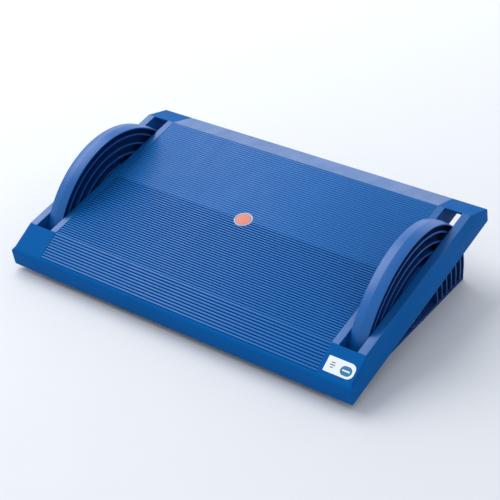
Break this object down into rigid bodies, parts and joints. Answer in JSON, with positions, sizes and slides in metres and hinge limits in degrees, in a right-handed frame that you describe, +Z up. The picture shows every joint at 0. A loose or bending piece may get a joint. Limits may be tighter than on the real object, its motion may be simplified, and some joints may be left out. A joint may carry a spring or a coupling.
{
  "type": "tilting foot rest",
  "caption": "Ribbed plastic foot platform that rocks on two half-disc side stands, with rubber bumper feet under its edges.",
  "frame": {"origin": "on the floor, at the middle of the bounding box", "axes": "+X to the right along the rocking axis, +Y to the back (the high edge), +Z up"},
  "size_m": [0.45, 0.2954, 0.1192],
  "materials": {
    "platform_blue": "satin moulded, ribbed top",
    "stand_blue": "satin moulded",
    "bumper_rubber": "matt",
    "badge_rim": "satin",
    "badge_coral": "satin",
    "label_paper": "coated",
    "plated_steel": "zinc plated"
  },
  "bodies": {
    "base": {"left_nut": "plated_steel", "left_stand": "stand_blue", "left_washer": "plated_steel", "right_nut": "plated_steel", "right_stand": "stand_blue", "right_washer": "plated_steel", "spacer_tube": "plated_steel", "tie_rod": "plated_steel"},
    "platform": {"back_left_bumper": "bumper_rubber", "back_left_bumper_screw": "plated_steel", "back_left_inner_peg": "plated_steel", "back_left_outer_peg": "plated_steel", "back_right_bumper": "bumper_rubber", "back_right_bumper_screw": "plated_steel", "back_right_inner_peg": "plated_steel", "back_right_outer_peg": "plated_steel", "badge_plug": "badge_coral", "badge_ring": "badge_rim", "front_left_bumper": "bumper_rubber", "front_left_bumper_screw": "plated_steel", "front_left_inner_peg": "plated_steel", "front_left_outer_peg": "plated_steel", "front_right_bumper": "bumper_rubber", "front_right_bumper_screw": "plated_steel", "front_right_inner_peg": "plated_steel", "front_right_outer_peg": "plated_steel", "label": "label_paper", "platform": "platform_blue"}
  },
  "joints": [
    {"name": "platform_tilt", "type": "hinge", "parent": "base", "child": "platform", "pos_m": [0, 0.01129, 0], "axis": [1, 0, 0], "range_deg": [-25.8, 0]}
  ]
}
